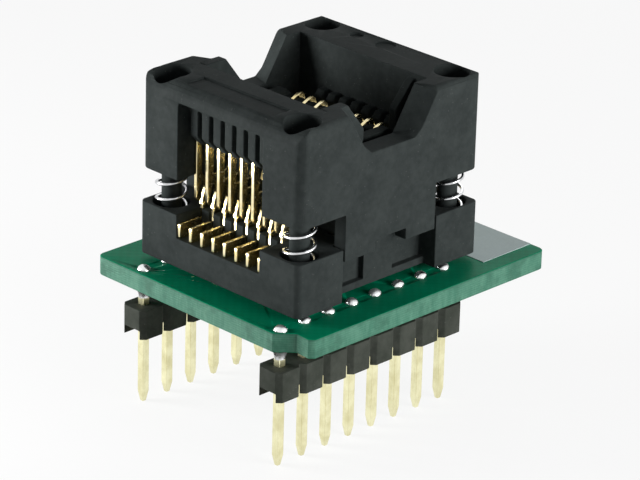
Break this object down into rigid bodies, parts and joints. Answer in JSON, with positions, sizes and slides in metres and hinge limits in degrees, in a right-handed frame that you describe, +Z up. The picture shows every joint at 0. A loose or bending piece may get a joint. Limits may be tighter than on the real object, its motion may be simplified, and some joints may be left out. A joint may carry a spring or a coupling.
{
  "type": "zif socket",
  "caption": "Open-top push-down zero-insertion-force socket for a small-outline chip, soldered to an adapter board that stands on two rows of square pins.",
  "frame": {"origin": "centre of the outline seen from above, at the level of the header pins' tips", "axes": "+X along the header rows, away from the notched corner towards the label; +Y from the front row to the back row; +Z up, against the direction the cover is pressed"},
  "size_m": [0.0278, 0.0228, 0.027],
  "materials": {
    "board": "solder mask over glass-epoxy laminate",
    "paper": "plain paper label",
    "insulator": "moulded, fine texture",
    "solder": "bright tin solder",
    "base_plastic": "moulded, fine texture",
    "nest_plastic": "moulded, fine texture",
    "cover_plastic": "moulded, fine texture",
    "pin_metal": "pale gold flash",
    "spring_steel": "drawn wire",
    "contact_metal": "gold plated strip"
  },
  "bodies": {
    "adapter": {"pcb": "board", "label": "paper", "header_front": "insulator", "header_back": "insulator", "pin_f1": "pin_metal", "pin_f2": "pin_metal", "pin_f3": "pin_metal", "pin_f4": "pin_metal", "pin_f5": "pin_metal", "pin_f6": "pin_metal", "pin_f7": "pin_metal", "pin_f8": "pin_metal", "pin_b1": "pin_metal", "pin_b2": "pin_metal", "pin_b3": "pin_metal", "pin_b4": "pin_metal", "pin_b5": "pin_metal", "pin_b6": "pin_metal", "pin_b7": "pin_metal", "pin_b8": "pin_metal", "solder_joints": "solder", "socket_base": "base_plastic", "package_nest": "nest_plastic", "spring_1": "spring_steel", "spring_2": "spring_steel", "spring_3": "spring_steel", "spring_4": "spring_steel", "contact_l1": "contact_metal", "contact_l2": "contact_metal", "contact_l3": "contact_metal", "contact_l4": "contact_metal", "contact_l5": "contact_metal", "contact_l6": "contact_metal", "contact_l7": "contact_metal", "contact_l8": "contact_metal", "contact_r1": "contact_metal", "contact_r2": "contact_metal", "contact_r3": "contact_metal", "contact_r4": "contact_metal", "contact_r5": "contact_metal", "contact_r6": "contact_metal", "contact_r7": "contact_metal", "contact_r8": "contact_metal"},
    "cover": {"cover": "cover_plastic"},
    "arms_left": {"arm_l1": "contact_metal", "arm_l2": "contact_metal", "arm_l3": "contact_metal", "arm_l4": "contact_metal", "arm_l5": "contact_metal", "arm_l6": "contact_metal", "arm_l7": "contact_metal", "arm_l8": "contact_metal"},
    "arms_right": {"arm_r1": "contact_metal", "arm_r2": "contact_metal", "arm_r3": "contact_metal", "arm_r4": "contact_metal", "arm_r5": "contact_metal", "arm_r6": "contact_metal", "arm_r7": "contact_metal", "arm_r8": "contact_metal"}
  },
  "joints": [
    {"name": "cover_press", "type": "slide", "parent": "adapter", "child": "cover", "axis": [0, 0, -1], "range_m": [0, 0.0025], "stiffness_N_per_m": 800, "springref_m": -0.0015, "deforming": ["spring_1", "spring_2", "spring_3", "spring_4"]},
    {"name": "arms_left_open", "type": "hinge", "parent": "adapter", "child": "arms_left", "pos_m": [-0.00847, 0, 0.01645], "axis": [0, -1, 0], "range_deg": [0, 11.5]},
    {"name": "arms_right_open", "type": "hinge", "parent": "adapter", "child": "arms_right", "pos_m": [0.00573, 0, 0.01645], "axis": [0, 1, 0], "range_deg": [0, 11.5]}
  ],
  "couplings": [
    {"joint": "arms_left_open", "follows": "cover_press", "rad_per_m": 80},
    {"joint": "arms_right_open", "follows": "cover_press", "rad_per_m": 80}
  ]
}
